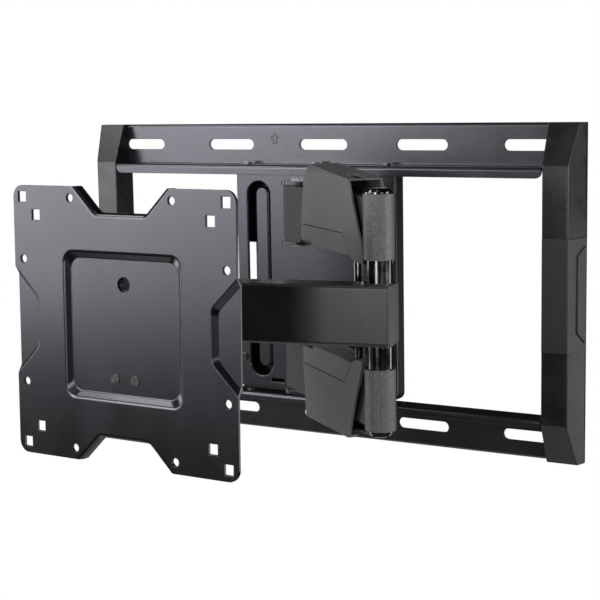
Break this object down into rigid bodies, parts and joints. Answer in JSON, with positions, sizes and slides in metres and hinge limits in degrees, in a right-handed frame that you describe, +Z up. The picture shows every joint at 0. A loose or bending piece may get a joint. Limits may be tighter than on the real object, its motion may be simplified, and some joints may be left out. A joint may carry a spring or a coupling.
{
  "type": "full motion tv wall mount",
  "caption": "Full motion television wall mount: slotted wall frame, twin swinging arms, folding forearm, and a swivelling, tilting screen plate with the usual hole pattern.",
  "frame": {"origin": "middle of the wall frame on the wall plane: half way between the two rows of wall slots", "axes": "X to the right along the wall, Y into the wall, Z up; the screen plate faces -Y"},
  "size_m": [0.5124, 0.3117, 0.296],
  "materials": {
    "frame_paint": "satin black powder coat, fine texture",
    "arm_paint": "matt dark grey powder coat, fine grain",
    "screen_plate_paint": "satin charcoal powder coat, soft sheen",
    "cast_paint": "dark grey powder coat over a slightly rough casting",
    "cover_plastic": "matt dark grey moulded plastic, fine grain",
    "cap_plastic": "matt black moulded plastic",
    "grip_plastic": "matt black moulded plastic, coarser grain",
    "chrome_plate": "bright chrome plating",
    "black_fasteners": "black oxide steel, slightly shiny",
    "bushing_nylon": "black nylon, waxy"
  },
  "bodies": {
    "wall_frame": {"top_rail": "frame_paint", "bottom_rail": "frame_paint", "left_end_cap": "cap_plastic", "right_end_cap": "cap_plastic", "left_cap_band": "grip_plastic", "right_cap_band": "grip_plastic", "left_cap_grip": "grip_plastic", "right_cap_grip": "grip_plastic", "left_side_channel": "frame_paint", "right_side_channel": "frame_paint", "side_channel_rivets": "black_fasteners", "centre_plate": "frame_paint", "cable_guide_plate": "frame_paint", "guide_plate_screw": "black_fasteners", "ledge_screws": "black_fasteners", "centre_plate_spacers": "black_fasteners", "upper_pivot_bracket": "frame_paint", "lower_pivot_bracket": "frame_paint", "pivot_bracket_rivets": "black_fasteners", "wall_pivot_bolts": "black_fasteners", "wall_pivot_nuts": "black_fasteners"},
    "arms": {"upper_arm": "cast_paint", "lower_arm": "cast_paint", "wall_pivot_bushings": "bushing_nylon", "upper_cover_front": "cover_plastic", "upper_cover_rear": "cover_plastic", "upper_cable_door": "cover_plastic", "lower_cover_front": "cover_plastic", "lower_cover_rear": "cover_plastic", "lower_cable_door": "cover_plastic", "tie_rod": "chrome_plate", "elbow_pin": "chrome_plate", "elbow_top_cap": "chrome_plate", "elbow_bottom_cap": "chrome_plate", "elbow_sleeves": "chrome_plate"},
    "forearm": {"forearm_tube": "arm_paint", "forearm_elbow_hub": "arm_paint", "forearm_elbow_bushings": "bushing_nylon", "forearm_head_hub": "arm_paint", "forearm_head_bushings": "bushing_nylon", "forearm_elbow_plug": "cover_plastic", "forearm_head_plug": "cover_plastic"},
    "head": {"swivel_yoke": "frame_paint", "swivel_bolt": "black_fasteners", "swivel_nut": "black_fasteners", "tilt_bolt": "black_fasteners", "tilt_nut": "black_fasteners"},
    "screen": {"tilt_bracket": "frame_paint", "tilt_friction_washers": "bushing_nylon", "screen_plate_screws": "black_fasteners", "screen_plate": "screen_plate_paint"}
  },
  "joints": [
    {"name": "wall_swing", "type": "hinge", "parent": "wall_frame", "child": "arms", "pos_m": [0, -0.05, 0], "axis": [0, 0, 1], "range_deg": [-36, 36]},
    {"name": "elbow_fold", "type": "hinge", "parent": "arms", "child": "forearm", "pos_m": [0.14262, -0.17095, 0], "axis": [0, 0, 1], "range_deg": [-20, 70]},
    {"name": "head_swivel", "type": "hinge", "parent": "forearm", "child": "head", "pos_m": [-0.00906, -0.2043, 0], "axis": [0, 0, 1], "range_deg": [-20, 38]},
    {"name": "screen_tilt", "type": "hinge", "parent": "head", "child": "screen", "pos_m": [-0.01186, -0.27724, 0], "axis": [0.9993, -0.0384, 0], "range_deg": [-4, 16]}
  ]
}
